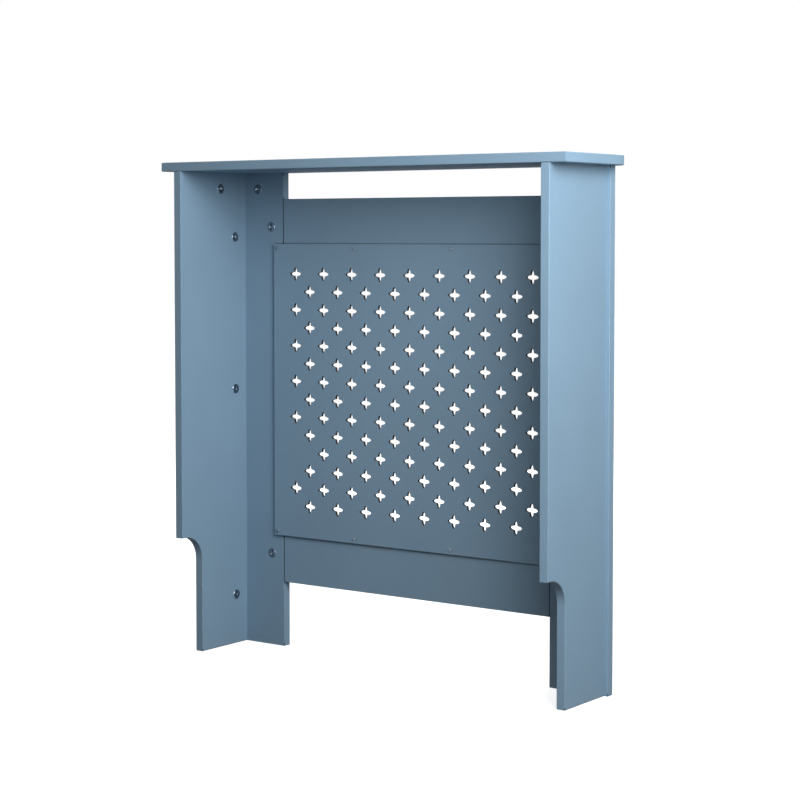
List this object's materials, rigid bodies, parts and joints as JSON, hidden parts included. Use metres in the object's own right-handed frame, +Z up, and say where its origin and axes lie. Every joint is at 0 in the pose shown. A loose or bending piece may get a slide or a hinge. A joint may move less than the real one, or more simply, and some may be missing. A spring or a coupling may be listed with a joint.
{
  "type": "radiator cover cabinet",
  "caption": "Flat-pack radiator cover: a top board on notched side panels and a front frame with a pierced grille, pulled together by cam locks that turn.",
  "frame": {"origin": "on the floor, under the middle of the top board", "axes": "+Z up, -Y to the room (front), +Y to the wall, +X to the right as seen from the front"},
  "size_m": [0.78, 0.19, 0.82],
  "materials": {
    "painted_board": "satin dusty-blue paint on fibreboard",
    "painted_grille": "satin dusty-blue paint on thin fibreboard",
    "cam_metal": "die-cast metal, dull grey plating",
    "bolt_steel": "bright zinc plating",
    "screw_steel": "dull zinc plating",
    "bare_wood": "bare beech"
  },
  "bodies": {
    "cabinet": {"bottom_rail": "painted_board", "bottom_rail_bolts": "bolt_steel", "bottom_rail_dowels": "bare_wood", "front_stile_left": "painted_board", "front_stile_right": "painted_board", "grille_panel": "painted_grille", "grille_screws": "screw_steel", "side_panel_left": "painted_board", "side_panel_right": "painted_board", "stile_bolts": "bolt_steel", "stile_dowels": "bare_wood", "top_board": "painted_board", "top_board_bolts": "bolt_steel", "top_board_dowels": "bare_wood", "top_rail": "painted_board", "top_rail_bolts": "bolt_steel", "top_rail_dowels": "bare_wood"},
    "side_top_cam_left": {"side_top_cam_left": "cam_metal"},
    "side_upper_cam_left": {"side_upper_cam_left": "cam_metal"},
    "side_middle_cam_left": {"side_middle_cam_left": "cam_metal"},
    "side_lower_cam_left": {"side_lower_cam_left": "cam_metal"},
    "stile_top_cam_left": {"stile_top_cam_left": "cam_metal"},
    "stile_upper_cam_left": {"stile_upper_cam_left": "cam_metal"},
    "stile_lower_cam_left": {"stile_lower_cam_left": "cam_metal"},
    "side_top_cam_right": {"side_top_cam_right": "cam_metal"},
    "side_upper_cam_right": {"side_upper_cam_right": "cam_metal"},
    "side_middle_cam_right": {"side_middle_cam_right": "cam_metal"},
    "side_lower_cam_right": {"side_lower_cam_right": "cam_metal"},
    "stile_top_cam_right": {"stile_top_cam_right": "cam_metal"},
    "stile_upper_cam_right": {"stile_upper_cam_right": "cam_metal"},
    "stile_lower_cam_right": {"stile_lower_cam_right": "cam_metal"}
  },
  "joints": [
    {"name": "side_top_cam_left_turn", "type": "hinge", "parent": "cabinet", "child": "side_top_cam_left", "pos_m": [-0.348, -0.0055, 0.778], "axis": [1, 0, 0], "range_deg": [0, 180]},
    {"name": "side_upper_cam_left_turn", "type": "hinge", "parent": "cabinet", "child": "side_upper_cam_left", "pos_m": [-0.348, -0.042, 0.697], "axis": [1, 0, 0], "range_deg": [0, 180]},
    {"name": "side_middle_cam_left_turn", "type": "hinge", "parent": "cabinet", "child": "side_middle_cam_left", "pos_m": [-0.348, -0.042, 0.438], "axis": [1, 0, 0], "range_deg": [0, 180]},
    {"name": "side_lower_cam_left_turn", "type": "hinge", "parent": "cabinet", "child": "side_lower_cam_left", "pos_m": [-0.348, -0.042, 0.084], "axis": [1, 0, 0], "range_deg": [0, 180]},
    {"name": "stile_top_cam_left_turn", "type": "hinge", "parent": "cabinet", "child": "stile_top_cam_left", "pos_m": [-0.3205, -0.069, 0.778], "axis": [0, 1, 0], "range_deg": [0, 180]},
    {"name": "stile_upper_cam_left_turn", "type": "hinge", "parent": "cabinet", "child": "stile_upper_cam_left", "pos_m": [-0.2915, -0.069, 0.714], "axis": [0, 1, 0], "range_deg": [0, 180]},
    {"name": "stile_lower_cam_left_turn", "type": "hinge", "parent": "cabinet", "child": "stile_lower_cam_left", "pos_m": [-0.2915, -0.069, 0.157], "axis": [0, 1, 0], "range_deg": [0, 180]},
    {"name": "side_top_cam_right_turn", "type": "hinge", "parent": "cabinet", "child": "side_top_cam_right", "pos_m": [0.348, -0.0055, 0.778], "axis": [-1, 0, 0], "range_deg": [0, 180]},
    {"name": "side_upper_cam_right_turn", "type": "hinge", "parent": "cabinet", "child": "side_upper_cam_right", "pos_m": [0.348, -0.042, 0.697], "axis": [-1, 0, 0], "range_deg": [0, 180]},
    {"name": "side_middle_cam_right_turn", "type": "hinge", "parent": "cabinet", "child": "side_middle_cam_right", "pos_m": [0.348, -0.042, 0.438], "axis": [-1, 0, 0], "range_deg": [0, 180]},
    {"name": "side_lower_cam_right_turn", "type": "hinge", "parent": "cabinet", "child": "side_lower_cam_right", "pos_m": [0.348, -0.042, 0.084], "axis": [-1, 0, 0], "range_deg": [0, 180]},
    {"name": "stile_top_cam_right_turn", "type": "hinge", "parent": "cabinet", "child": "stile_top_cam_right", "pos_m": [0.3205, -0.069, 0.778], "axis": [0, 1, 0], "range_deg": [0, 180]},
    {"name": "stile_upper_cam_right_turn", "type": "hinge", "parent": "cabinet", "child": "stile_upper_cam_right", "pos_m": [0.2915, -0.069, 0.714], "axis": [0, 1, 0], "range_deg": [0, 180]},
    {"name": "stile_lower_cam_right_turn", "type": "hinge", "parent": "cabinet", "child": "stile_lower_cam_right", "pos_m": [0.2915, -0.069, 0.157], "axis": [0, 1, 0], "range_deg": [0, 180]}
  ]
}
